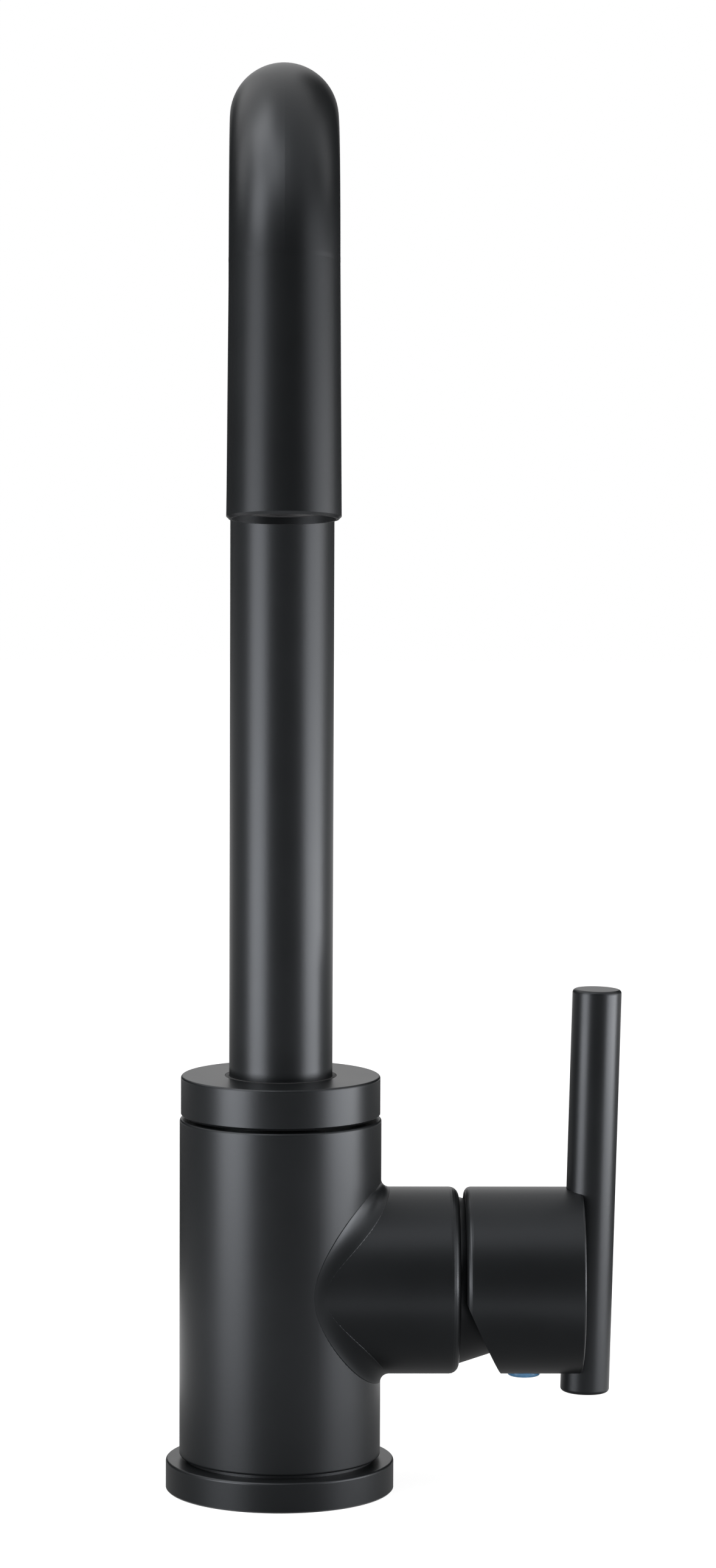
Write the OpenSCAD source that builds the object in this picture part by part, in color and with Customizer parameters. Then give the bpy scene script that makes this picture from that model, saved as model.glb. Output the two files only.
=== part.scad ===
// Single-lever kitchen faucet with a swivelling gooseneck spout.
// Origin: centre of the deck face under the base flange. +Z is up, the lever is on +X
// and the spout points to -Y at rest. Millimetres.

/* [Base flange] */
// Outer diameter of the base flange
base_d = 56.4; // [54:0.2:66]
// Height of the base flange
base_h = 7.5; // [6:0.5:12]
// Thickness of the rubber gasket under the flange
gasket_h = 1.5; // [1:0.25:3]

/* [Valve body] */
// Diameter of the upright body
body_d = 49.7; // [49:0.1:54]
// Height of the body's shoulder above the deck
body_top_z = 92.4; // [90:0.2:110]
// Shadow gap between the flange and the body's foot
reveal_h = 0.9; // [0.5:0.1:2]
// Diameter of the boss under the body that centres the flange
spigot_d = 34; // [33:0.5:36]

/* [Side hub] */
// Diameter of the side hub and of the lever hub beside it
hub_d = 46; // [45.6:0.1:47]
// Height of the side hub's axis above the deck
hub_z = 52; // [51.5:0.1:53]
// Distance from the body's axis to the side hub's mouth
hub_reach = 44; // [43.5:0.1:47]
// Radius of the blend where the side hub leaves the body
hub_blend_r = 2; // [1:0.25:3]
// Rounding of the side hub's mouth
hub_edge_r = 2.4; // [1:0.1:2.6]

/* [Collar] */
// Outer diameter of the collar that holds the spout down
collar_d = 49.1; // [48:0.1:54]
// Height of the collar
collar_h = 10; // [9:0.5:15]
// Seam between the collar and the body's shoulder
collar_seam = 0.6; // [0.3:0.1:1]

/* [Spout] */
// Outer diameter of the spout tube
tube_d = 25.4; // [24:0.2:26]
// Wall of the spout tube
tube_wall = 1.2; // [0.8:0.1:1.6]
// Height at which the riser starts to bend
bend_z = 296; // [180:2:400]
// Radius of the gooseneck at the tube's centre line
bend_r = 39; // [36:1:90]
// Outward lean of the drop behind the outlet, in degrees
drop_lean = 8; // [0:1:30]
// Length of the straight drop
drop_l = 59; // [40:1:100]
// Outer diameter of the drop at the outlet
outlet_d = 26.2; // [25.6:0.2:28]

/* [Cartridge] */
// Diameter of the ceramic cartridge
cartridge_d = 35; // [34.6:0.1:35.4]
// Width of the square valve stem
stem_w = 8; // [7:0.25:8.5]
// Travel of the lever between shut and full flow, in degrees
lift_deg = 20; // [10:1:20]
// Radius at which the inlet ports lie
port_pcr = 8; // [7.5:0.1:8.2]
// Radius of the inlet ports
port_r = 2.2; // [1.8:0.1:2.4]

/* [Lever] */
// Gap between the side hub's mouth and the lever hub
hub_gap = 1.4; // [1.2:0.1:2.5]
// Length of the lever hub
lever_hub_l = 29; // [28:0.5:40]
// Diameter of the lever rod
rod_d = 12.1; // [10:0.1:13]
// Length of the lever rod
rod_l = 100.3; // [80:1:140]
// Length of the rod that hangs below the hub's axis
rod_drop = 27.8; // [24:0.2:34]
// Share of the rod's diameter that is sunk into the hub's end
rod_sunk_share = 0.36; // [0.3:0.02:0.45]
// Outward lean of the rod, in degrees
rod_lean = 1.3; // [0:0.1:3]
// Spare slope of the relief under the hub over the lever's travel, in degrees
relief_spare_deg = 3.8; // [2:0.1:10]
// Diameter of the red and blue index plug
index_d = 8.2; // [7:0.1:9]

/* [Hidden] */
$fn = 96;

// Shared clearances
fit_gap = 0.05;       // running fits and threads
slide_gap = 0.04;     // between the two ceramic discs
seat_gap = 0.1;       // pieces dropped into a recess
free_gap = 0.3;       // moving pieces that are not a fit
over = 1;             // overrun of every cut
edge_r = 0.6;         // small broken edges
round_steps = 6;      // straight steps in a quarter of a rounding

// Body and foot
base_r = base_d/2;
body_r = body_d/2;
spigot_r = spigot_d/2;
spigot_gap = 0.2;                        // between the boss and the flange
reveal_in = 1.5;                         // depth of the shadow gap
foot_z = base_h + reveal_h;
gasket_in_share = 25/112;                // where the gasket's edges lie across the flange's ring
gasket_out_share = 11/14;
gasket_in = spigot_r + gasket_in_share*(base_r - spigot_r);
gasket_out = spigot_r + gasket_out_share*(base_r - spigot_r);

// Inlets and the fixing stud in the boss's face
inlet_tap_r = 4.5;
inlet_tap_l = 12;
inlet_x = 6;
inlet_y = 8;
inlet_bore_r = 3;
stud_tap_r = 3.4;
stud_tap_l = 18;
stud_x = -10;

// Cartridge stations along the side hub's axis, from the body's axis, set back from the hub's mouth
cartridge_r = cartridge_d/2;
pocket_r = cartridge_r + seat_gap;
base_l = 4.5;
spigot_in_l = 2;
housing_wall = 2.1;
housing_in_r = cartridge_r - housing_wall;
fixed_l = 3.5;
moving_l = 4;
holder_l = 3.4;
carrier_flange_l = 1.2;
carrier_neck_r = 10.5;
cartridge_l = base_l + fixed_l + slide_gap + moving_l + holder_l + free_gap
    + carrier_flange_l + fit_gap + housing_wall;
nut_l = 4;
mouth_l = 2.91;                          // depth of the recess for the bonnet
mouth_x = hub_reach - mouth_l;
shoulder_x = mouth_x - nut_l;
base_x = shoulder_x - cartridge_l;
fixed_x = base_x + base_l;
moving_x = fixed_x + fixed_l + slide_gap;
holder_x = moving_x + moving_l;
carrier_x = holder_x + holder_l + free_gap;
housing_ceiling_x = carrier_x + carrier_flange_l + fit_gap;
housing_neck_r = carrier_neck_r + fit_gap + housing_wall;

// The lever's pivot, and how far the pieces round it stand out from it
pivot_in = 1;
pivot_x = hub_reach - pivot_in;
housing_neck_out = 2.5;
carrier_out = 5;
shaft_out = 2.5;
housing_neck_x = pivot_x + housing_neck_out;
carrier_end_x = pivot_x + carrier_out;
stem_front_x = pivot_x + shaft_out;

// Spout socket in the top of the body
socket_r = 16;
socket_floor_z = 66;
neck_r = 21;
collar_roof = 1.8;
neck_l = collar_h - collar_roof;
neck_top_z = body_top_z + collar_seam + neck_l;
collar_z = body_top_z + collar_seam;
collar_top_z = collar_z + collar_h;
collar_lip_z = neck_top_z + fit_gap;
mix_bore_r = 4;

// Spout tube and its shank
tube_r = tube_d/2;
bore_r = tube_r - tube_wall;
outlet_r = outlet_d/2;
join_l = 1;                              // hairline sleeve that fuses the bend and the drop
join_lip = 0.02;
wiper_w = 0.9;
wiper_h = 1.3;
glide_h = 1.3;
shank_z = socket_floor_z + glide_h + fit_gap;
shank_top_z = collar_lip_z - glide_h - fit_gap;
shank_r = socket_r - fit_gap;
shank_shelf = 2.7;                       // step in the shank's bore that the tube stands on
shank_foot = 5;
shank_bore_r = tube_r - shank_shelf;
tube_seat_z = shank_z + shank_foot;
seal_section_r = 0.95;
seal_groove_w = 2.4;
seal_rise = 4;
seal_pitch = 8;
seal_z = [tube_seat_z + seal_rise, tube_seat_z + seal_rise + seal_pitch];
seal_ring_r = shank_r - seal_section_r;

// Aerator, measured back from the outlet along the drop
outlet_wall = 1.3;
aerator_r = outlet_r - outlet_wall;
aerator_recess = 1.6;
aerator_l = 12;
aerator_wall = 1.4;
aerator_lip = 1;
gasket_ring_h = 1.6;
core_h = 5;
cell_pitch = 2.5;
cell_r = 1.1;
cell_rows = 4;
screen_h = 0.8;

// Cartridge pieces
carrier_slot_h = 13;
pin_r = 1.5;
pin_end_gap = 1;
pin_l = 2*(carrier_neck_r - pin_end_gap);
disc_r = 12.8;
disc_offset = -2.1;
cavity_r = 5.5;
cavity_l = 2.2;
outlet_port_r = 3;
outlet_port_z = -2.5;
inlet_port_deg = 35;
seal_h = 1.5;
seal_w = 1.3;
ball_r = 2;
ball_floor_l = 0.5;
ball_x = holder_x + ball_floor_l + ball_r + free_gap;
tail_r = 1.4;
pin_boss_r = 4;
port_places = [
    [port_pcr*sin(inlet_port_deg), port_pcr*cos(inlet_port_deg), port_r],
    [-port_pcr*sin(inlet_port_deg), port_pcr*cos(inlet_port_deg), port_r],
    [0, outlet_port_z, outlet_port_r]
];

// Nut and bonnet in the side hub's mouth
hub_r = hub_d/2;
nut_ledge = 1.5;                         // how far the nut laps over the pocket's edge
nut_r = cartridge_r + nut_ledge;
nut_in_r = housing_neck_r + free_gap;
nut_nose_r = 16.5;
nut_nose_l = 3.4;
bonnet_r = 20.5;
mouth_r = bonnet_r + free_gap;
bonnet_out = 8.3;
bonnet_nose_x = hub_reach + bonnet_out;
bonnet_nose_r = 18.2;
bonnet_nose_round = 1.4;
bonnet_cone_deg = 15;
bonnet_wall = 2;
bonnet_bevel = 0.7;
bonnet_hole_r = 11.5;
bonnet_bore_r = nut_nose_r + fit_gap;
bonnet_in_r = bonnet_nose_r - bonnet_wall - bonnet_bevel;
bonnet_seal_r = 0.7;
bonnet_seal_in = 1.4;
bonnet_seal_x = hub_reach - bonnet_seal_in;

// Lever hub, in the same stations
lever_x = hub_reach + hub_gap;
lever_end_x = lever_x + lever_hub_l;
lever_edge_r = 1.6;
lever_wall = 2.4;
cavity_in_r = hub_r - lever_wall;
cup_straight_l = 8.1;
cup_l = 12.6;
cavity_straight_x = lever_x + cup_straight_l;
cavity_end_x = lever_x + cup_l;
cavity_end_r = 15.8;
relief_z = -1.9;
relief_deg = lift_deg + relief_spare_deg;
stem_socket_l = 9;
stem_in_l = 6;
stem_end_x = cavity_end_x + stem_in_l;
index_l = 15;
index_x = lever_x + index_l;
index_seat = 2.4;
index_proud = 0.8;
index_gap = 0.1;
set_screw_r = 2;
set_screw_l = 10;
rod_r = rod_d/2;
rod_x = lever_end_x + rod_r - rod_sunk_share*rod_d;
rod_round = 0.9;
screw_r = 2;
screw_head_r = 3.4;
screw_head_l = 2.4;
screw_key_r = 1.5;
screw_past_l = 1.5;
screw_tip_x = rod_x + screw_past_l;
socket_floor_x = cavity_end_x + stem_socket_l;

// Colours of the pieces
matt_black = "#242628";
brass = "#b08d3c";
steel = "#9a9da0";
acetal = "#e8e6de";
rubber = "#17181a";
ceramic = "#efeee9";

// Points on an arc about c, from angle a0 to a1
function arc(c, r, a0, a1, n = round_steps) =
    [for (i = [0:n]) let (a = a0 + (a1 - a0)*i/n) [c[0] + r*cos(a), c[1] + r*sin(a)]];

// Unit vector and a blend between two directions
function unit(v) = v/norm(v);
function between(a, b, t) = unit(a*(1 - t) + b*t);

// A revolved outline of [radius, height] points
module turned(outline) {
    rotate_extrude() polygon(outline);
}

// A plain ring
module ring(r_out, r_in, h) {
    difference() {
        cylinder(r = r_out, h = h);
        translate([0, 0, -over]) cylinder(r = r_in, h = h + 2*over);
    }
}

// A round rubber ring
module o_ring(ring_r, section_r) {
    rotate_extrude() translate([ring_r, 0]) circle(r = section_r, $fn = 32);
}

// Puts children on the side hub's axis: their +Z becomes +X and their +X points down
module along_hub(x = 0) {
    translate([x, 0, hub_z]) rotate([0, 90, 0]) children();
}

// A straight round passage between two points
module passage(a, b, r) {
    d = b - a;
    translate(a)
        rotate([0, acos(d[2]/norm(d)), atan2(d[1], d[0])])
            cylinder(r = r, h = norm(d));
}

// Puts children at each cartridge port; a place is [y, height over the axis, radius]
module at_ports() {
    for (p = port_places) translate([-p[1], p[0], 0]) {
        $port_r = p[2];
        children();
    }
}

// A disc with the three ports through it
module port_plate(r, h) {
    difference() {
        cylinder(r = r, h = h);
        translate([0, 0, -over]) at_ports() cylinder(r = $port_r, h = h + 2*over);
    }
}

// Base flange: the ring that covers the deck hole
module base_flange() {
    color(matt_black) difference() {
        turned(concat(
            [[spigot_r + spigot_gap, 0], [base_r - edge_r/2, 0], [base_r, edge_r/2]],
            arc([base_r - edge_r, base_h - edge_r], edge_r, 0, 90),
            [[spigot_r + spigot_gap, base_h]]
        ));
        translate([0, 0, -over]) ring(gasket_out + seat_gap, gasket_in - seat_gap, gasket_h + over);
    }
}

// Gasket in the groove under the flange
module base_gasket() {
    color(rubber) ring(gasket_out, gasket_in, gasket_h);
}

// Blend between the side hub and the body: a ball rolled along the crease
blend_turns = 48;
blend_steps = 5;
blend_sink = 0.06;
blend_root = 1.5;

function blend_centre(a) =
    let (y = (hub_r + hub_blend_r)*sin(a))
    [sqrt(pow(body_r + hub_blend_r, 2) - y*y), y, (hub_r + hub_blend_r)*cos(a)];

function blend_section(a) =
    let (
        c = blend_centre(a),
        on_hub = [c[0], (hub_r - blend_sink)*sin(a), (hub_r - blend_sink)*cos(a)],
        k = (body_r - blend_sink)/(body_r + hub_blend_r),
        on_body = [c[0]*k, c[1]*k, c[2]],
        u = unit(on_hub - c),
        v = unit(on_body - c),
        crease_x = sqrt(pow(body_r, 2) - pow(hub_r*sin(a), 2)),
        root = [crease_x - blend_root, (hub_r - blend_root)*sin(a), (hub_r - blend_root)*cos(a)]
    )
    concat(
        [on_hub],
        [for (i = [1:blend_steps - 1]) c + hub_blend_r*between(u, v, i/blend_steps)],
        [on_body, root]
    );

module hub_blend() {
    m = blend_steps + 2;
    sections = [for (i = [0:blend_turns - 1]) blend_section(360*i/blend_turns)];
    faces = [
        for (i = [0:blend_turns - 1], j = [0:m - 1])
            let (
                i2 = (i + 1) % blend_turns,
                j2 = (j + 1) % m,
                a = i*m + j, b = i*m + j2, c = i2*m + j2, d = i2*m + j
            )
            each [[a, c, b], [a, d, c]]
    ];
    translate([0, 0, hub_z]) polyhedron([for (s = sections) each s], faces);
}

// Water ways: each inlet rises beside the shank and turns to its port in the pocket's floor
module water_ways() {
    for (side = [-1, 1]) {
        port = [base_x, side*port_places[0][0], hub_z + port_places[0][1]];
        turn = [inlet_x, side*inlet_y, port[2]];
        translate([inlet_x, side*inlet_y, -over]) cylinder(r = inlet_tap_r, h = inlet_tap_l + over);
        translate([inlet_x, side*inlet_y, 0]) cylinder(r = inlet_bore_r, h = port[2]);
        translate(turn) sphere(r = inlet_bore_r, $fn = 32);
        passage(turn, port + [over, 0, 0], port_r);
    }
    outlet_z = hub_z + outlet_port_z;
    passage([0, 0, outlet_z], [base_x + over, 0, outlet_z], outlet_port_r);
    translate([0, 0, outlet_z - outlet_port_r])
        cylinder(r = mix_bore_r, h = socket_floor_z - outlet_z + outlet_port_r + over);
}

// Valve body: upright cylinder, side hub, shank and threaded neck in one casting
module valve_body() {
    color(matt_black) difference() {
        union() {
            turned(concat(
                [[0, 0], [spigot_r, 0], [spigot_r, base_h],
                 [body_r - reveal_in, base_h], [body_r - reveal_in, foot_z]],
                arc([body_r - edge_r, foot_z + edge_r], edge_r, -90, 0),
                arc([body_r - edge_r, body_top_z - edge_r], edge_r, 0, 90),
                [[neck_r, body_top_z], [neck_r, neck_top_z], [0, neck_top_z]]
            ));
            along_hub() turned(concat(
                [[0, 0], [hub_r, 0]],
                arc([hub_r - hub_edge_r, hub_reach - hub_edge_r], hub_edge_r, 0, 90),
                [[0, hub_reach]]
            ));
            hub_blend();
        }
        translate([0, 0, socket_floor_z]) cylinder(r = socket_r, h = neck_top_z - socket_floor_z + over);
        along_hub(base_x) cylinder(r = pocket_r, h = shoulder_x - base_x + over);
        along_hub(shoulder_x) cylinder(r = nut_r + fit_gap, h = nut_l + over);
        along_hub(mouth_x) cylinder(r = mouth_r, h = hub_reach - mouth_x + over);
        water_ways();
        translate([stud_x, 0, -over]) cylinder(r = stud_tap_r, h = stud_tap_l + over);
    }
}

// Collar: the ring screwed over the body's neck, which holds the spout down
module collar() {
    r = collar_d/2;
    hole_r = tube_r + fit_gap + wiper_w + seat_gap;
    color(matt_black) turned(concat(
        [[neck_r + fit_gap, collar_z], [r - edge_r, collar_z], [r, collar_z + edge_r]],
        arc([r - edge_r, collar_top_z - edge_r], edge_r, 0, 90),
        [[hole_r, collar_top_z], [hole_r, collar_lip_z], [neck_r + fit_gap, collar_lip_z]]
    ));
}

// Wiper seal in the collar's hole, round the riser
module wiper_seal() {
    color(rubber) translate([0, 0, collar_top_z - wiper_h])
        ring(tube_r + fit_gap + wiper_w, tube_r + fit_gap, wiper_h);
}

// Glide rings that the spout's shank turns between
module upper_glide_ring() {
    color(acetal) translate([0, 0, collar_lip_z - glide_h])
        ring(socket_r - seat_gap, tube_r + free_gap, glide_h);
}

module lower_glide_ring() {
    color(acetal) translate([0, 0, socket_floor_z])
        ring(socket_r - seat_gap, shank_bore_r, glide_h);
}

// Foot of the cartridge, with a ring recess round each port on both faces
module cartridge_base() {
    color(acetal) along_hub(base_x) difference() {
        union() {
            port_plate(cartridge_r, base_l - spigot_in_l);
            port_plate(housing_in_r - fit_gap, base_l);
        }
        for (z = [-over, base_l - seal_h])
            translate([0, 0, z]) at_ports() cylinder(r = $port_r + seal_w + fit_gap, h = seal_h + over);
    }
}

module port_seals() {
    color(rubber) along_hub(base_x) at_ports() ring($port_r + seal_w, $port_r, seal_h);
}

module disc_seals() {
    color(rubber) along_hub(fixed_x - seal_h) at_ports() ring($port_r + seal_w, $port_r, seal_h);
}

// Fixed ceramic disc with the two inlet ports and the mixed outlet
module fixed_disc() {
    color(ceramic) along_hub(fixed_x) port_plate(housing_in_r - fit_gap, fixed_l);
}

// Moving ceramic disc, with the mixing cavity in the face that rubs
module moving_disc() {
    color(ceramic) along_hub(moving_x) translate([-disc_offset, 0, 0]) difference() {
        cylinder(r = disc_r, h = moving_l);
        translate([0, 0, -over]) cylinder(r = cavity_r, h = cavity_l + over);
    }
}

// Holder that carries the moving disc and takes the stem's ball
module disc_holder() {
    color(acetal) along_hub(holder_x) difference() {
        translate([-disc_offset, 0, 0]) cylinder(r = disc_r, h = holder_l);
        translate([0, 0, ball_floor_l]) cylinder(r = ball_r + free_gap, h = holder_l);
    }
}

// Housing that clips over the cartridge's foot and guides the turning carrier
module cartridge_housing() {
    x0 = base_x + base_l - spigot_in_l;
    color(acetal) along_hub() turned([
        [housing_in_r, x0], [cartridge_r, x0], [cartridge_r, shoulder_x],
        [housing_neck_r, shoulder_x], [housing_neck_r, housing_neck_x],
        [carrier_neck_r + fit_gap, housing_neck_x], [carrier_neck_r + fit_gap, housing_ceiling_x],
        [housing_in_r, housing_ceiling_x]
    ]);
}

// Brass nut that clamps the cartridge; the bonnet screws on its nose
module cartridge_nut() {
    color(brass) along_hub() turned([
        [nut_in_r, shoulder_x], [nut_r, shoulder_x], [nut_r, mouth_x],
        [nut_nose_r, mouth_x], [nut_nose_r, mouth_x + nut_nose_l],
        [nut_in_r, mouth_x + nut_nose_l]
    ]);
}

// Conical bonnet that shows when the lever is lifted
module bonnet() {
    x0 = mouth_x + fit_gap;
    color(matt_black) along_hub() difference() {
        turned(concat(
            [[bonnet_bore_r, x0], [bonnet_r, x0], [bonnet_r, hub_reach]],
            arc([bonnet_nose_r - bonnet_nose_round, bonnet_nose_x - bonnet_nose_round],
                bonnet_nose_round, bonnet_cone_deg, 90),
            [[bonnet_hole_r, bonnet_nose_x], [bonnet_hole_r, bonnet_nose_x - bonnet_wall],
             [bonnet_in_r, bonnet_nose_x - bonnet_wall], [bonnet_in_r, mouth_x + nut_nose_l + over],
             [bonnet_bore_r, mouth_x + nut_nose_l + over]]
        ));
        translate([0, 0, bonnet_seal_x - bonnet_seal_r - fit_gap])
            ring(bonnet_r + over, mouth_r - 2*bonnet_seal_r - seat_gap, 2*(bonnet_seal_r + fit_gap));
    }
}

module bonnet_seal() {
    color(rubber) along_hub(bonnet_seal_x) o_ring(mouth_r - bonnet_seal_r - fit_gap, bonnet_seal_r);
}

// Puts children at the spout's outlet, looking back up the drop
module at_outlet() {
    translate([0, -bend_r, bend_z])
        rotate([-drop_lean, 0, 0])
            translate([0, -bend_r, -drop_l])
                children();
}

// The tube's path as one solid: riser, gooseneck and drop, each of its own radius
module spout_path(r, r_out, z0, extra) {
    translate([0, 0, z0]) cylinder(r = r, h = bend_z - z0);
    translate([0, -bend_r, bend_z])
        rotate([90, 0, 90])
            rotate_extrude(angle = 180 - drop_lean)
                translate([bend_r, 0]) circle(r = r);
    at_outlet() {
        translate([0, 0, -extra]) cylinder(r1 = r_out, r2 = r, h = drop_l + extra);
        translate([0, 0, drop_l - join_l/2]) cylinder(r = r + join_lip, h = join_l);
    }
}

// Spout tube with the seat for the aerator in its end
module spout_tube() {
    seat_l = aerator_recess + aerator_l + gasket_ring_h;
    color(matt_black) difference() {
        spout_path(tube_r, outlet_r, tube_seat_z, 0);
        spout_path(bore_r, bore_r, tube_seat_z - over, over);
        at_outlet() {
            translate([0, 0, -over]) cylinder(r = aerator_r + fit_gap, h = seat_l + over);
            difference() {
                translate([0, 0, -over]) cylinder(r = outlet_r + over, h = edge_r + over);
                translate([0, 0, -over])
                    cylinder(r1 = outlet_r - edge_r - over, r2 = outlet_r, h = edge_r + over);
            }
        }
    }
}

// Brass shank that the tube is brazed into, with two seal grooves
module spout_shank() {
    groove_r = seal_ring_r - seal_section_r - fit_gap;
    color(brass) difference() {
        translate([0, 0, shank_z]) cylinder(r = shank_r, h = shank_top_z - shank_z);
        translate([0, 0, shank_z - over]) cylinder(r = shank_bore_r, h = shank_top_z - shank_z + 2*over);
        translate([0, 0, tube_seat_z]) cylinder(r = tube_r + fit_gap, h = shank_top_z - tube_seat_z + over);
        for (z = seal_z)
            translate([0, 0, z - seal_groove_w/2]) ring(shank_r + over, groove_r, seal_groove_w);
    }
}

module shank_seals() {
    color(rubber) for (z = seal_z) translate([0, 0, z]) o_ring(seal_ring_r, seal_section_r);
}

// Aerator shell screwed into the outlet
module aerator_housing() {
    color(acetal) at_outlet() translate([0, 0, aerator_recess]) difference() {
        cylinder(r = aerator_r, h = aerator_l);
        translate([0, 0, -over]) cylinder(r = aerator_r - aerator_wall - aerator_lip, h = aerator_l + 2*over);
        translate([0, 0, aerator_lip]) cylinder(r = aerator_r - aerator_wall, h = aerator_l);
    }
}

// Honeycomb that straightens the stream
module aerator_core() {
    r = aerator_r - aerator_wall - fit_gap;
    cell_x = cell_pitch*sin(60);
    color(steel) at_outlet() translate([0, 0, aerator_recess + aerator_lip]) difference() {
        cylinder(r = r, h = core_h);
        for (i = [-cell_rows:cell_rows], j = [-cell_rows:cell_rows]) {
            x = i*cell_x;
            y = (j + i/2)*cell_pitch;
            if (norm([x, y]) + cell_r < r - aerator_lip)
                translate([x, y, -over]) cylinder(r = cell_r, h = core_h + 2*over, $fn = 6);
        }
    }
}

// Fine screen above the honeycomb
module aerator_screen() {
    r = aerator_r - aerator_wall - fit_gap;
    color(steel) at_outlet() translate([0, 0, aerator_recess + aerator_lip + core_h]) difference() {
        cylinder(r = r, h = screen_h);
        for (a = [0:60:300], k = [1, 2, 3])
            rotate(a) translate([k*cell_pitch, 0, -over]) cylinder(r = cell_r/2, h = screen_h + 2*over);
    }
}

module aerator_gasket() {
    color(rubber) at_outlet() translate([0, 0, aerator_recess + aerator_l])
        ring(aerator_r, aerator_r - aerator_wall - aerator_lip, gasket_ring_h);
}

// Carrier that turns in the housing and holds the stem's pin
module stem_carrier() {
    color(acetal) along_hub() difference() {
        turned([
            [0, carrier_x], [housing_in_r - fit_gap, carrier_x],
            [housing_in_r - fit_gap, carrier_x + carrier_flange_l],
            [carrier_neck_r, carrier_x + carrier_flange_l], [carrier_neck_r, carrier_end_x],
            [0, carrier_end_x]
        ]);
        translate([-carrier_slot_h/2, -stem_w/2 - free_gap, carrier_x - over])
            cube([carrier_slot_h, stem_w + 2*free_gap, carrier_end_x - carrier_x + 2*over]);
        translate([0, carrier_neck_r + over, pivot_x]) rotate([90, 0, 0])
            cylinder(r = pin_r + fit_gap, h = 2*(carrier_neck_r + over));
    }
}

module pivot_pin() {
    color(steel) along_hub(pivot_x) translate([0, pin_l/2, 0]) rotate([90, 0, 0])
        cylinder(r = pin_r, h = pin_l);
}

// Valve stem: square shaft, pin boss, and the tail whose ball moves the disc
module valve_stem() {
    color(brass) along_hub() difference() {
        union() {
            translate([-stem_w/2, -stem_w/2, stem_front_x])
                cube([stem_w, stem_w, stem_end_x - stem_front_x]);
            translate([0, stem_w/2, pivot_x]) rotate([90, 0, 0]) cylinder(r = pin_boss_r, h = stem_w);
            translate([0, 0, ball_x]) cylinder(r = tail_r, h = pivot_x - ball_x);
            translate([0, 0, ball_x]) sphere(r = ball_r, $fn = 48);
        }
        translate([0, stem_w/2 + over, pivot_x]) rotate([90, 0, 0])
            cylinder(r = pin_r + fit_gap, h = stem_w + 2*over);
    }
}

// Puts children on the rod: its axis is +Z and its foot is at the origin
module along_rod() {
    translate([rod_x, 0, hub_z]) rotate([0, rod_lean, 0]) translate([0, 0, -rod_drop]) children();
}

// Lever hub: a cup over the bonnet, cut away below so that it can tilt
module lever_hub() {
    socket_w = stem_w + 2*fit_gap;
    low = hub_r + over;
    relief_x = lever_x + (low + relief_z)*tan(relief_deg);
    color(matt_black) difference() {
        along_hub() difference() {
            turned(concat(
                [[0, lever_x]],
                arc([hub_r - lever_edge_r, lever_x + lever_edge_r], lever_edge_r, -90, 0),
                arc([hub_r - edge_r, lever_end_x - edge_r], edge_r, 0, 90),
                [[0, lever_end_x]]
            ));
            turned([
                [0, lever_x - over], [cavity_in_r, lever_x - over], [cavity_in_r, cavity_straight_x],
                [cavity_end_r, cavity_end_x], [0, cavity_end_x]
            ]);
            translate([-socket_w/2, -socket_w/2, cavity_end_x - over])
                cube([socket_w, socket_w, stem_socket_l + over]);
            translate([0, 0, socket_floor_x - over])
                cylinder(r = screw_r + fit_gap, h = lever_end_x - socket_floor_x + 2*over);
            translate([0, hub_r + over, 0]) rotate([90, 0, 0]) linear_extrude(2*(hub_r + over))
                polygon([
                    [-relief_z, lever_x - over], [-relief_z, lever_x],
                    [low, relief_x], [low, lever_x - over]
                ]);
            translate([0, 0, index_x]) rotate([0, 90, 0]) {
                cylinder(r = set_screw_r + fit_gap, h = hub_r);
                translate([0, 0, hub_r - index_seat])
                    cylinder(r = index_d/2 + index_gap, h = index_seat + over);
            }
        }
        along_rod() translate([0, 0, -over]) cylinder(r = rod_r + fit_gap, h = rod_l);
    }
}

// Lever rod with softened ends and the tapped hole for its screw
module lever_rod() {
    color(matt_black) difference() {
        along_rod() turned(concat(
            [[0, 0]],
            arc([rod_r - rod_round, rod_round], rod_round, -90, 0),
            arc([rod_r - rod_round, rod_l - rod_round], rod_round, 0, 90),
            [[0, rod_l]]
        ));
        along_hub(rod_x - rod_r - over)
            cylinder(r = screw_r + fit_gap, h = screw_tip_x - rod_x + rod_r + 2*over);
    }
}

// Screw from the floor of the stem socket into the rod
module lever_screw() {
    color(steel) along_hub(socket_floor_x - screw_head_l) difference() {
        union() {
            cylinder(r = screw_head_r, h = screw_head_l);
            cylinder(r = screw_r, h = screw_tip_x - socket_floor_x + screw_head_l);
        }
        translate([0, 0, -over]) cylinder(r = screw_key_r, h = screw_head_l - edge_r + over, $fn = 6);
    }
}

// Grub screw that locks the hub on the stem
module set_screw() {
    color(steel) along_hub(index_x) rotate([0, 90, 0]) translate([0, 0, stem_w/2]) difference() {
        cylinder(r = set_screw_r, h = set_screw_l);
        translate([0, 0, set_screw_l - set_screw_r])
            cylinder(r = set_screw_r/2, h = set_screw_r + over, $fn = 6);
    }
}

// Index plug over the set screw
module index_plug() {
    plug_l = index_seat + index_proud;
    color("#3f7fae") along_hub(index_x) rotate([0, 90, 0]) translate([0, 0, hub_r - index_seat])
        turned(concat(
            [[0, 0], [index_d/2, 0]],
            arc([index_d/2 - edge_r, plug_l - edge_r], edge_r, 0, 90),
            [[0, plug_l]]
        ));
}

base_flange();
base_gasket();
valve_body();
collar();
wiper_seal();
upper_glide_ring();
lower_glide_ring();
cartridge_base();
port_seals();
disc_seals();
fixed_disc();
cartridge_housing();
cartridge_nut();
bonnet();
bonnet_seal();
spout_tube();
spout_shank();
shank_seals();
aerator_housing();
aerator_core();
aerator_screen();
aerator_gasket();
stem_carrier();
pivot_pin();
moving_disc();
disc_holder();
valve_stem();
lever_hub();
lever_rod();
lever_screw();
set_screw();
index_plug();
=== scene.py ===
import math

import bpy
from mathutils import Matrix, Vector


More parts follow.
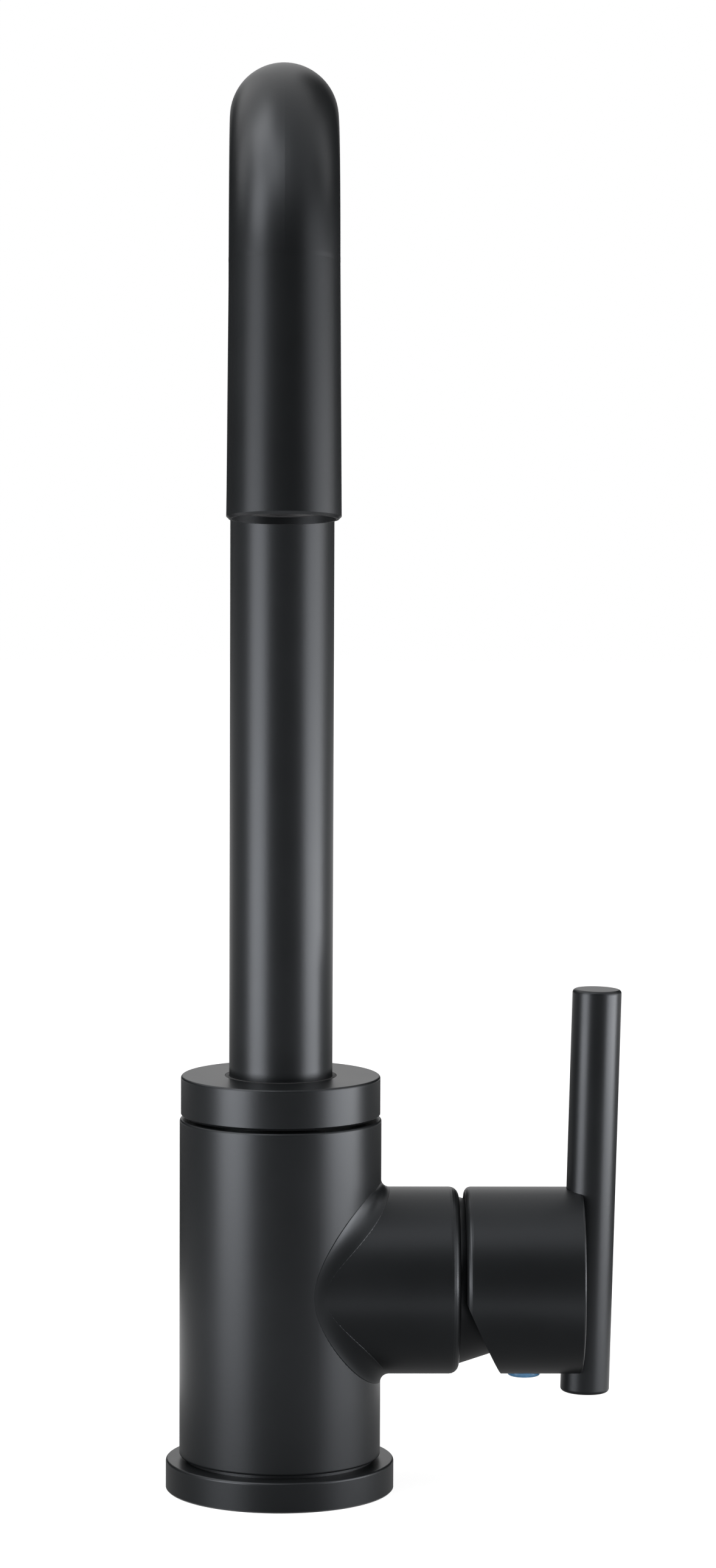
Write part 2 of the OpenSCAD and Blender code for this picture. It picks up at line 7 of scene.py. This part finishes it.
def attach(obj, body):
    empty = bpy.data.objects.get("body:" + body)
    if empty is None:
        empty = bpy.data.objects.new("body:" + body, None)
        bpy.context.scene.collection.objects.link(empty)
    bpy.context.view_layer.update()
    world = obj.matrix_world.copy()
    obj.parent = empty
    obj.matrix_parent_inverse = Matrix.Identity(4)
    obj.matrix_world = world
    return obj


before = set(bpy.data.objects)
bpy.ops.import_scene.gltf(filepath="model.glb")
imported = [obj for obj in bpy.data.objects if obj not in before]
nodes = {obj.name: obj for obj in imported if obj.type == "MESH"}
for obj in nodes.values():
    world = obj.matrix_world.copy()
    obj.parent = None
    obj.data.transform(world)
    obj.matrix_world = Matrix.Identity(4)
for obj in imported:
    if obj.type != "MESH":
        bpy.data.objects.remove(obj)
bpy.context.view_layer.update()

MM = 0.001

# The CAD nodes that each finish covers
FINISH_NODES = {
    "powder_coat": ("base_flange", "valve_body", "collar", "bonnet", "spout_tube", "lever_hub",
                    "lever_rod"),
    "turned_brass": ("cartridge_nut", "spout_shank", "valve_stem"),
    "turned_steel": ("pivot_pin", "lever_screw", "set_screw", "aerator_screen"),
    "acetal": ("upper_glide_ring", "lower_glide_ring", "cartridge_base", "cartridge_housing",
               "stem_carrier", "disc_holder"),
    "rubber": ("base_gasket", "wiper_seal", "port_seals", "disc_seals", "bonnet_seal",
               "shank_seals", "aerator_gasket"),
    "ceramic": ("fixed_disc", "moving_disc"),
    "dark_plastic": ("aerator_housing", "aerator_core"),
    "index_plastic": ("index_plug",),
}

# Where a noise value starts and stops to choose between two tones
TONE_START = 0.35
TONE_STOP = 0.65


# Node helpers
def new_material(name):
    """A new material with nodes, and its shader."""
    material = bpy.data.materials.new(name)
    material.use_nodes = True
    return material, material.node_tree.nodes["Principled BSDF"]


def add_node(tree, kind, **values):
    """A node of a kind, with its properties and inputs set by name."""
    node = tree.nodes.new(kind)
    for key, value in values.items():
        if hasattr(node, key):
            setattr(node, key, value)
        else:
            node.inputs[key.replace("_", " ").title()].default_value = value
    return node


def object_place(tree):
    """The surface point in the frame's own metres."""
    return add_node(tree, "ShaderNodeTexCoord").outputs["Object"]


def noise(tree, place, size, detail=2.0):
    """Noise whose features are about size metres wide, as a value around 0.5."""
    node = add_node(tree, "ShaderNodeTexNoise", scale=1 / size, detail=detail)
    tree.links.new(place, node.inputs["Vector"])
    return node.outputs["Fac"]


def stretched(tree, place, scale):
    """The place with each axis scaled, for marks that run along one direction."""
    node = add_node(tree, "ShaderNodeMapping", scale=scale)
    tree.links.new(place, node.inputs["Vector"])
    return node.outputs["Vector"]


def spread(tree, value, low, high, start=0.3, stop=0.7):
    """A value mapped from start..stop to low..high."""
    node = add_node(tree, "ShaderNodeMapRange", from_min=start, from_max=stop, to_min=low,
                    to_max=high)
    tree.links.new(value, node.inputs["Value"])
    return node.outputs["Result"]


def shades(tree, value, first, second):
    """A colour between two tones, chosen by a noise value."""
    node = add_node(tree, "ShaderNodeValToRGB")
    stops = ((TONE_START, first), (TONE_STOP, second))
    for element, (position, tone) in zip(node.color_ramp.elements, stops):
        element.position = position
        element.color = (*tone, 1)
    tree.links.new(value, node.inputs["Fac"])
    return node.outputs["Color"]


def bump(tree, height, depth, normal=None):
    """A bump of a height from 0 to 1 that stands depth metres high."""
    node = add_node(tree, "ShaderNodeBump", strength=1.0, distance=depth)
    tree.links.new(height, node.inputs["Height"])
    if normal is not None:
        tree.links.new(normal, node.inputs["Normal"])
    return node.outputs["Normal"]


# Powder coat: its two tones, its gloss, its reflection, and the size and depth of its relief
COAT_TONES = ((0.0036, 0.0040, 0.0043), (0.0048, 0.0053, 0.0057))
COAT_ROUGHNESS = (0.36, 0.385)
COAT_SPECULAR = 0.3
COAT_TINT = (0.89, 0.93, 1.0, 1)
CLOUD_SIZE = 24 * MM
CLOUD_DETAIL = 3.0
PEEL_SIZE = 0.9 * MM
PEEL_DEPTH = 0.006 * MM
GRIT_SIZE = 0.28 * MM
GRIT_DEPTH = 0.0016 * MM
FINE_DETAIL = 1.0


def powder_coat():
    """Satin black powder coat: a fine orange peel, a little unevenness in tone and gloss."""
    material, shader = new_material("powder_coat")
    tree = material.node_tree
    place = object_place(tree)
    cloud = noise(tree, place, CLOUD_SIZE, CLOUD_DETAIL)
    peel = noise(tree, place, PEEL_SIZE, FINE_DETAIL)
    grit = noise(tree, place, GRIT_SIZE, FINE_DETAIL)
    tree.links.new(shades(tree, cloud, *COAT_TONES), shader.inputs["Base Color"])
    tree.links.new(spread(tree, cloud, *COAT_ROUGHNESS), shader.inputs["Roughness"])
    soft = bump(tree, peel, PEEL_DEPTH)
    tree.links.new(bump(tree, grit, GRIT_DEPTH, soft), shader.inputs["Normal"])
    shader.inputs["Specular IOR Level"].default_value = COAT_SPECULAR
    shader.inputs["Specular Tint"].default_value = COAT_TINT
    return material


# Turned metals: first tone, second tone and lowest roughness
TURNED = {
    "turned_brass": ((0.60, 0.42, 0.17), (0.72, 0.53, 0.24), 0.24),
    "turned_steel": ((0.50, 0.51, 0.52), (0.62, 0.63, 0.64), 0.26),
}
TURNED_RANGE = 0.12
TARNISH_SIZE = 6 * MM
TARNISH_DETAIL = 4.0
MARKS_SIZE = 0.25 * MM
MARKS_DEPTH = 0.004 * MM
MARKS_STRETCH = (1.0, 0.12, 1.0)


def turned_metal(name, first, second, roughness):
    """Bare machined metal with fine tool marks and a slight tarnish."""
    material, shader = new_material(name)
    tree = material.node_tree
    place = object_place(tree)
    tarnish = noise(tree, place, TARNISH_SIZE, TARNISH_DETAIL)
    marks = noise(tree, stretched(tree, place, MARKS_STRETCH), MARKS_SIZE)
    gloss = spread(tree, marks, roughness, roughness + TURNED_RANGE)
    tree.links.new(shades(tree, tarnish, first, second), shader.inputs["Base Color"])
    tree.links.new(gloss, shader.inputs["Roughness"])
    tree.links.new(bump(tree, marks, MARKS_DEPTH), shader.inputs["Normal"])
    shader.inputs["Metallic"].default_value = 1.0
    return material


# Moulded finishes: first tone, second tone, lowest roughness, and the grain's size and depth
MOULDED = {
    "acetal": ((0.74, 0.73, 0.69), (0.80, 0.79, 0.75), 0.38, 0.5 * MM, 0.003 * MM),
    "rubber": ((0.012, 0.012, 0.013), (0.020, 0.020, 0.021), 0.62, 0.3 * MM, 0.006 * MM),
    "ceramic": ((0.78, 0.77, 0.74), (0.84, 0.83, 0.80), 0.12, 0.15 * MM, 0.0006 * MM),
    "dark_plastic": ((0.016, 0.016, 0.017), (0.024, 0.024, 0.026), 0.45, 0.4 * MM, 0.004 * MM),
}
MOULDED_RANGE = 0.08
FLOW_SIZE = 9 * MM


def moulded(name, first, second, roughness, grain, depth):
    """A moulded surface: faint flow marks in its tone and a fine mould grain."""
    material, shader = new_material(name)
    tree = material.node_tree
    place = object_place(tree)
    flow = noise(tree, place, FLOW_SIZE)
    texture = noise(tree, place, grain, FINE_DETAIL)
    gloss = spread(tree, texture, roughness, roughness + MOULDED_RANGE)
    tree.links.new(shades(tree, flow, first, second), shader.inputs["Base Color"])
    tree.links.new(gloss, shader.inputs["Roughness"])
    tree.links.new(bump(tree, texture, depth), shader.inputs["Normal"])
    return material


# Index plug: the two tones of its cold front half and of its hot rear half, and its gloss
COLD_TONES = ((0.060, 0.17, 0.31), (0.072, 0.20, 0.36))
HOT_TONES = ((0.52, 0.030, 0.024), (0.58, 0.040, 0.030))
INDEX_ROUGHNESS = (0.22, 0.30)
SPECKLE_SIZE = 1.6 * MM


def index_colours():
    """Glossy plug, blue on its front half for cold and red on its rear half for hot."""
    material, shader = new_material("index_plastic")
    tree = material.node_tree
    place = object_place(tree)
    axes = add_node(tree, "ShaderNodeSeparateXYZ")
    tree.links.new(place, axes.inputs["Vector"])
    half = add_node(tree, "ShaderNodeMath", operation="GREATER_THAN")
    half.inputs[1].default_value = 0.0
    tree.links.new(axes.outputs["Y"], half.inputs[0])
    speckle = noise(tree, place, SPECKLE_SIZE)
    mix = add_node(tree, "ShaderNodeMix", data_type="RGBA")
    tree.links.new(half.outputs["Value"], mix.inputs["Factor"])
    tree.links.new(shades(tree, speckle, *COLD_TONES), mix.inputs["A"])
    tree.links.new(shades(tree, speckle, *HOT_TONES), mix.inputs["B"])
    tree.links.new(mix.outputs["Result"], shader.inputs["Base Color"])
    tree.links.new(spread(tree, speckle, *INDEX_ROUGHNESS), shader.inputs["Roughness"])
    return material


def dress_all():
    """Gives every CAD node its finish, and hands back the powder coat for the crease's blend."""
    finishes = {"powder_coat": powder_coat(), "index_plastic": index_colours()}
    for name, look in TURNED.items():
        finishes[name] = turned_metal(name, *look)
    for name, look in MOULDED.items():
        finishes[name] = moulded(name, *look)
    for finish, covered in FINISH_NODES.items():
        for name in covered:
            materials = nodes[name].data.materials
            materials.clear()
            materials.append(finishes[finish])
    return finishes["powder_coat"]


# Soft blend in the crease between the side hub and the body, widest at the front and back
BODY_R = 24.85 * MM
HUB_R = 23.0 * MM
HUB_Z = 52.0 * MM
BLEND_TOP_R = 2.2 * MM
BLEND_SIDE_R = 10.0 * MM
BLEND_TURNS = 144
BLEND_STEPS = 10
BLEND_SINK = 0.015 * MM
BLEND_ROOT = 1.2 * MM


def crease_section(around):
    """The blend's outline at an angle round the hub: an arc from hub to body, and a root inside."""
    across, up = math.sin(around), math.cos(around)
    radius = BLEND_TOP_R + (BLEND_SIDE_R - BLEND_TOP_R) * across ** 2
    y = (HUB_R + radius) * across
    centre = Vector((math.sqrt((BODY_R + radius) ** 2 - y * y), y, (HUB_R + radius) * up))
    hub_r = HUB_R - BLEND_SINK
    on_hub = Vector((centre.x, hub_r * across, hub_r * up))
    share = (BODY_R - BLEND_SINK) / (BODY_R + radius)
    on_body = Vector((centre.x * share, centre.y * share, centre.z))
    first, last = (on_hub - centre).normalized(), (on_body - centre).normalized()
    arc = [centre + radius * first.lerp(last, step / BLEND_STEPS).normalized()
           for step in range(1, BLEND_STEPS)]
    inner = HUB_R - BLEND_ROOT
    root_x = math.sqrt(BODY_R ** 2 - (HUB_R * across) ** 2) - BLEND_ROOT
    return [on_hub, *arc, on_body, Vector((root_x, inner * across, inner * up))]


def make_crease_blend(material):
    """One closed ring of blend round the crease."""
    sections = [crease_section(2 * math.pi * turn / BLEND_TURNS) for turn in range(BLEND_TURNS)]
    count = len(sections[0])
    verts = [point + Vector((0, 0, HUB_Z)) for section in sections for point in section]
    faces = []
    for turn in range(BLEND_TURNS):
        here, there = turn * count, (turn + 1) % BLEND_TURNS * count
        for i in range(count):
            j = (i + 1) % count
            faces.append((here + i, there + i, there + j, here + j))
    mesh = bpy.data.meshes.new("crease_blend")
    mesh.from_pydata(verts, [], faces)
    smooth = [i % count < BLEND_STEPS for i in range(len(faces))]
    mesh.polygons.foreach_set("use_smooth", smooth)
    mesh.materials.append(material)
    blend = bpy.data.objects.new("crease_blend", mesh)
    bpy.context.scene.collection.objects.link(blend)
    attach(blend, "valve")


# Camera: place and near limit in metres, angles in radians, lens and sensor in millimetres
CAMERA_PLACE = Vector((-0.0048, -1.2107, 0.28774))
CAMERA_PITCH = 0.0929
CAMERA_YAW = 0.0194
CAMERA_ROLL = 0.0044
CAMERA_LENS = 114.16
CAMERA_SENSOR = 36.0
CAMERA_NEAR = 0.05


def set_camera():
    """The photographed viewpoint."""
    forward = Vector((math.sin(CAMERA_YAW) * math.cos(CAMERA_PITCH),
                      math.cos(CAMERA_YAW) * math.cos(CAMERA_PITCH),
                      -math.sin(CAMERA_PITCH)))
    level = forward.cross(Vector((0, 0, 1))).normalized()
    upright = level.cross(forward)
    right = level * math.cos(CAMERA_ROLL) + upright * math.sin(CAMERA_ROLL)
    up = upright * math.cos(CAMERA_ROLL) - level * math.sin(CAMERA_ROLL)
    data = bpy.data.cameras.new("camera")
    data.lens = CAMERA_LENS
    data.sensor_width = CAMERA_SENSOR
    data.clip_start = CAMERA_NEAR
    camera = bpy.data.objects.new("camera", data)
    turn = Matrix((right, up, -forward)).transposed().to_4x4()
    camera.matrix_world = Matrix.Translation(CAMERA_PLACE) @ turn
    bpy.context.scene.collection.objects.link(camera)
    bpy.context.scene.camera = camera


# Upright softboxes: the middle's angle, the half width in degrees, the foot, the top, the radiance
SOFTBOX_DISTANCE = 0.6
SOFTBOXES = {
    "left_foot": (-54.0, 18.0, 0.0, 0.08, 25.0),
    "left_softbox": (-54.0, 18.0, 0.08, 0.36, 6.6),
    "left_fill": (-52.5, 15.0, 0.36, 0.6, 1.0),
    "right_foot": (76.0, 23.0, 0.0, 0.08, 24.0),
    "right_softbox": (75.0, 22.0, 0.08, 0.36, 5.0),
    "right_rear": (104.0, 7.0, 0.08, 0.36, 1.6),
    "right_fill": (62.0, 22.5, 0.36, 0.6, 1.8),
}
# Lamps from above: the angle round the object, the height angle and the radiance
TOP_LAMPS = {
    "left_shoulder": (-58.0, 35.0, 8.0),
    "left_rear": (-110.0, 35.0, 2.2),
    "far_left_rear": (-150.0, 35.0, 1.0),
    "left_top": (-90.0, 60.0, 5.4),
    "front_top": (-30.0, 60.0, 4.4),
    "right_shoulder": (60.0, 35.0, 0.8),
    "right_top_rear": (110.0, 35.0, 1.4),
}
TOP_DISTANCE = 0.9
TOP_MIDDLE = Vector((0.0, 0.0, 0.25))
TOP_TARGET = Vector((0.0, -0.03, 0.2))
TOP_SIZE = 0.4
AMBIENT = 0.2
WHITE = 1.0


def area_light(name, place, target, width, tall, radiance):
    """A rectangular lamp at a place, which faces the target."""
    data = bpy.data.lights.new(name, "AREA")
    data.shape = "RECTANGLE"
    data.size = width
    data.size_y = tall
    data.energy = radiance * math.pi * width * tall
    light = bpy.data.objects.new(name, data)
    light.location = place
    light.rotation_euler = (target - place).to_track_quat("-Z", "Y").to_euler()
    bpy.context.scene.collection.objects.link(light)


def round_place(around_deg, distance, height):
    """A point at an angle round the riser, positive to the camera's right."""
    around = math.radians(around_deg)
    return Vector((math.sin(around) * distance, -math.cos(around) * distance, height))


def set_lights():
    """Softboxes on both sides that draw the long highlights, and lamps from above."""
    for name, (around_deg, half_deg, foot, head, radiance) in SOFTBOXES.items():
        middle = (foot + head) / 2
        width = 2 * SOFTBOX_DISTANCE * math.tan(math.radians(half_deg))
        place = round_place(around_deg, SOFTBOX_DISTANCE, middle)
        area_light(name, place, Vector((0, 0, middle)), width, head - foot, radiance)
    for name, (around_deg, up_deg, radiance) in TOP_LAMPS.items():
        out = TOP_DISTANCE * math.cos(math.radians(up_deg))
        rise = TOP_DISTANCE * math.sin(math.radians(up_deg))
        place = TOP_MIDDLE + round_place(around_deg, out, rise)
        area_light(name, place, TOP_TARGET, TOP_SIZE, TOP_SIZE, radiance)


def seen_light(tree):
    """1 for camera, glossy and transmission rays, and 0 for the rest."""
    path = add_node(tree, "ShaderNodeLightPath")
    value = path.outputs["Is Camera Ray"]
    for name in ("Is Glossy Ray", "Is Transmission Ray"):
        top = add_node(tree, "ShaderNodeMath", operation="MAXIMUM")
        tree.links.new(value, top.inputs[0])
        tree.links.new(path.outputs[name], top.inputs[1])
        value = top.outputs["Value"]
    return value


def set_world():
    """White to the camera and in reflections, a plain dim fill for the rest."""
    world = bpy.data.worlds.new("studio")
    bpy.context.scene.world = world
    world.use_nodes = True
    tree = world.node_tree
    background = tree.nodes["Background"]
    strength = spread(tree, seen_light(tree), AMBIENT, WHITE, start=0.0, stop=1.0)
    tree.links.new(strength, background.inputs["Strength"])
    background.inputs["Color"].default_value = (1, 1, 1, 1)


def stage_object(name, verts, faces, material):
    """A floor or a flag, which isn't part of the object."""
    mesh = bpy.data.meshes.new(name)
    mesh.from_pydata(verts, [], faces)
    mesh.materials.append(material)
    stage = bpy.data.objects.new(name, mesh)
    bpy.context.scene.collection.objects.link(stage)
    return stage


# Floor: its width, its colour, and its glow, which rises to white from near to far
FLOOR_SIZE = 6.0
FLOOR_TONE = 0.25
FLOOR_GLOW_NEAR = 0.88
FLOOR_NEAR = 0.08
FLOOR_FAR = 0.45


def set_floor():
    """A pale floor that keeps the object's soft shadow and fades to plain white around it."""
    material = bpy.data.materials.new("floor")
    material.use_nodes = True
    tree = material.node_tree
    tree.nodes.clear()
    diffuse = add_node(tree, "ShaderNodeBsdfDiffuse")
    diffuse.inputs["Color"].default_value = (FLOOR_TONE, FLOOR_TONE, FLOOR_TONE, 1)
    away = add_node(tree, "ShaderNodeVectorMath", operation="LENGTH")
    tree.links.new(object_place(tree), away.inputs[0])
    fade = spread(tree, away.outputs["Value"], FLOOR_GLOW_NEAR, WHITE, FLOOR_NEAR, FLOOR_FAR)
    level = add_node(tree, "ShaderNodeMath", operation="MULTIPLY")
    tree.links.new(fade, level.inputs[0])
    tree.links.new(seen_light(tree), level.inputs[1])
    glow = add_node(tree, "ShaderNodeEmission")
    tree.links.new(level.outputs["Value"], glow.inputs["Strength"])
    both = add_node(tree, "ShaderNodeAddShader")
    tree.links.new(diffuse.outputs["BSDF"], both.inputs[0])
    tree.links.new(glow.outputs["Emission"], both.inputs[1])
    output = add_node(tree, "ShaderNodeOutputMaterial")
    tree.links.new(both.outputs["Shader"], output.inputs["Surface"])
    half = FLOOR_SIZE / 2
    verts = [(-half, -half, 0), (half, -half, 0), (half, half, 0), (-half, half, 0)]
    stage_object("floor", verts, [(0, 1, 2, 3)], material)


# Flags: a drum of dark cloth, a dark ring on the table, and inside that ring a glowing grey disc
# that is a painted reflection of the shaded floor under the object
FLAG_RADIUS = 2.2
FLAG_TOP = 2.4
FLAG_OPEN_DEG = 12
FLAG_TURNS = 48
FLAG_TONES = ((0.012, 0.012, 0.012), (0.018, 0.018, 0.018))
FLAG_WEAVE = 4 * MM
FLAG_ROUGHNESS = 0.9
TABLE_FLAG_INNER = 0.25
TABLE_FLAG_OUTER = 0.8
TABLE_FLAG_RISE = 0.0004
# Glowing grey disc on the table, seen only in reflections: a painted reflection of the shaded floor
# under the object
PAINTED_REFLECTION_RADIUS = 0.12
PAINTED_REFLECTION_GLOW = 0.3


def reflected_only(stage):
    """Shows a stage piece in reflections and nowhere else."""
    stage.visible_camera = False
    stage.visible_diffuse = False
    stage.visible_shadow = False


def flag_cloth():
    """Dark cloth without gloss."""
    material, shader = new_material("flag_cloth")
    tree = material.node_tree
    cloth = noise(tree, object_place(tree), FLAG_WEAVE)
    tree.links.new(shades(tree, cloth, *FLAG_TONES), shader.inputs["Base Color"])
    shader.inputs["Roughness"].default_value = FLAG_ROUGHNESS
    shader.inputs["Specular IOR Level"].default_value = 0.0
    return material


def painted_reflection_glow():
    """An even grey glow that no lamp changes: a painted reflection of the shaded floor under the
    object.
    """
    material, shader = new_material("painted_reflection_disc")
    shader.inputs["Base Color"].default_value = (0, 0, 0, 1)
    shader.inputs["Specular IOR Level"].default_value = 0.0
    shader.inputs["Emission Color"].default_value = (1, 1, 1, 1)
    shader.inputs["Emission Strength"].default_value = PAINTED_REFLECTION_GLOW
    return material


def set_flags():
    """What the object reflects: cloth round the set, open behind the object, a dark ring on the
    table, and a glowing disc that paints the shaded floor's reflection.
    """
    drum, ring, card = [], [], []
    for turn in range(FLAG_TURNS + 1):
        around = 180 - FLAG_OPEN_DEG - (360 - 2 * FLAG_OPEN_DEG) * turn / FLAG_TURNS
        drum += [round_place(around, FLAG_RADIUS, height) for height in (0.0, FLAG_TOP)]
        around = 360 * turn / FLAG_TURNS
        ring += [round_place(around, radius, TABLE_FLAG_RISE)
                 for radius in (TABLE_FLAG_INNER, TABLE_FLAG_OUTER)]
        card.append(round_place(around, PAINTED_REFLECTION_RADIUS, TABLE_FLAG_RISE))
    faces = [(2 * i, 2 * i + 1, 2 * i + 3, 2 * i + 2) for i in range(FLAG_TURNS)]
    cloth = flag_cloth()
    reflected_only(stage_object("flags", drum, faces, cloth))
    reflected_only(stage_object("table_flag", ring, faces, cloth))
    # The disc inside the ring glows grey and is seen only in reflections: a painted reflection of
    # the shaded floor under the object
    reflected_only(stage_object("painted_reflection_disc", card[:-1], [tuple(range(FLAG_TURNS))], painted_reflection_glow()))


make_crease_blend(dress_all())
set_camera()
set_lights()
set_world()
set_floor()
set_flags()
bpy.context.scene.view_settings.view_transform = "Standard"
